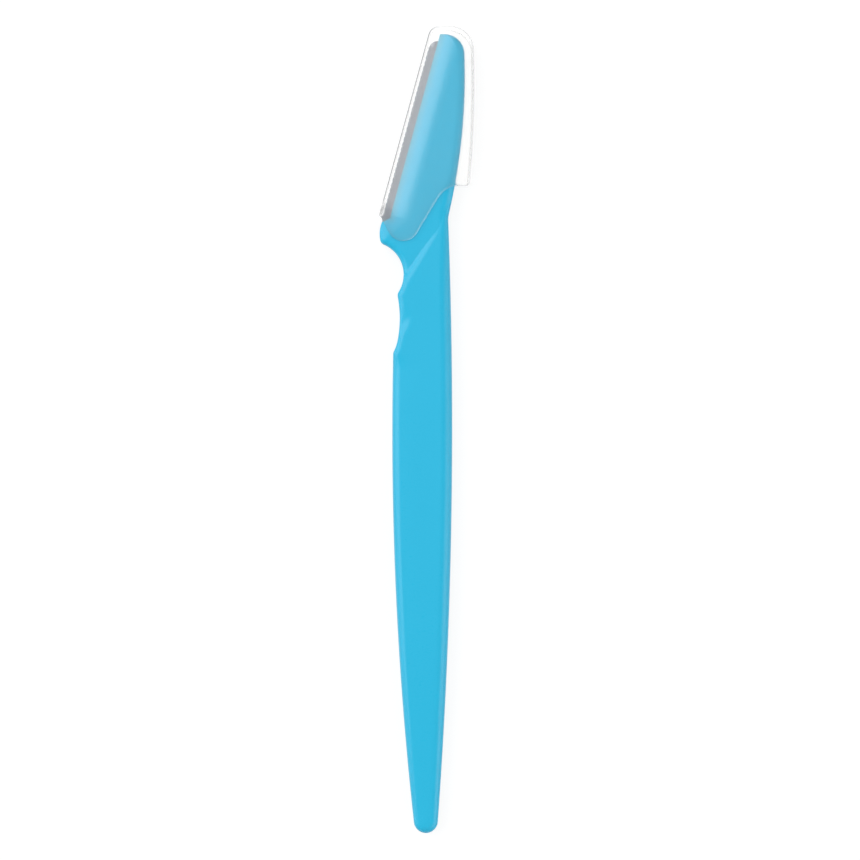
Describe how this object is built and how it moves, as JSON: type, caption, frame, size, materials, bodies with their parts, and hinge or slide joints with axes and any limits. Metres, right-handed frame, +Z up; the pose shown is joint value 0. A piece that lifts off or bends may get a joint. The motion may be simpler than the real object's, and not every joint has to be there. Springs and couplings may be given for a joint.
{
  "type": "eyebrow razor",
  "caption": "Slim flat moulded grip with finger notches and a thin tapering tail, a leaning guarded steel blade at its head, and a clear cap that slides off along the blade.",
  "frame": {"origin": "centre of the razor's outline, on the plane of its flat back", "axes": "+Y along the razor from the tail of the grip to the capped head, +X across it from the blade side to the spine, +Z up out of the face that the picture shows"},
  "size_m": [0.0179, 0.153, 0.005],
  "materials": {
    "blue_plastic": "glossy moulded sky-blue plastic",
    "blade_steel": "finely ground stainless strip",
    "guard_steel": "thin bright stainless sheet",
    "clear_plastic": "clear glossy moulded plastic"
  },
  "bodies": {
    "razor": {"handle": "blue_plastic", "blade": "blade_steel", "edge_guard": "guard_steel"},
    "cap": {"cap": "clear_plastic"}
  },
  "joints": [
    {"name": "cap_slide", "type": "slide", "parent": "razor", "child": "cap", "axis": [0.2639, 0.9646, 0], "range_m": [0, 0.045]}
  ]
}
